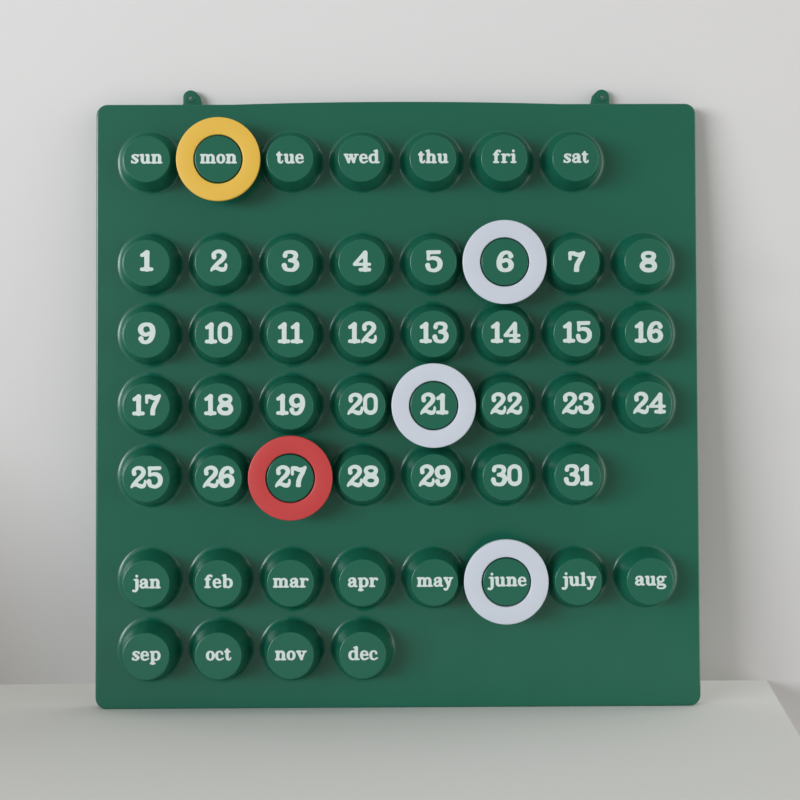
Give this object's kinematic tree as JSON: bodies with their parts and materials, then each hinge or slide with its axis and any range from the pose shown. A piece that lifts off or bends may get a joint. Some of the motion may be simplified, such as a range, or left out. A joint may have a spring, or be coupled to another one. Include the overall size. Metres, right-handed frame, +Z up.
{
  "type": "perpetual wall calendar",
  "caption": "Square moulded wall board with rows of tapered round knobs for weekdays, dates and months, marked by loose flat rings pushed onto the knobs.",
  "frame": {"origin": "on the wall plane, midway between the two hanging holes", "axes": "+Z up, -Y out of the wall towards the viewer, +X to the viewer's right"},
  "size_m": [0.3, 0.0226, 0.3081],
  "materials": {
    "board_plastic": "moulded, satin gloss",
    "yellow_ring_plastic": "moulded, satin",
    "white_ring_plastic": "moulded, satin",
    "red_ring_plastic": "moulded, satin"
  },
  "bodies": {
    "board": {"calendar_board": "board_plastic"},
    "yellow_day_ring": {"yellow_day_ring": "yellow_ring_plastic"},
    "white_date_ring": {"white_date_ring": "white_ring_plastic"},
    "white_date_ring_2": {"white_date_ring_2": "white_ring_plastic"},
    "red_date_ring": {"red_date_ring": "red_ring_plastic"},
    "white_month_ring": {"white_month_ring": "white_ring_plastic"}
  },
  "joints": [
    {"name": "yellow_day_ring_pull", "type": "slide", "parent": "board", "child": "yellow_day_ring", "axis": [0, -1, 0], "range_m": [0, 0.01]},
    {"name": "white_date_ring_pull", "type": "slide", "parent": "board", "child": "white_date_ring", "axis": [0, -1, 0], "range_m": [0, 0.01]},
    {"name": "white_date_ring_2_pull", "type": "slide", "parent": "board", "child": "white_date_ring_2", "axis": [0, -1, 0], "range_m": [0, 0.01]},
    {"name": "red_date_ring_pull", "type": "slide", "parent": "board", "child": "red_date_ring", "axis": [0, -1, 0], "range_m": [0, 0.01]},
    {"name": "white_month_ring_pull", "type": "slide", "parent": "board", "child": "white_month_ring", "axis": [0, -1, 0], "range_m": [0, 0.01]}
  ]
}
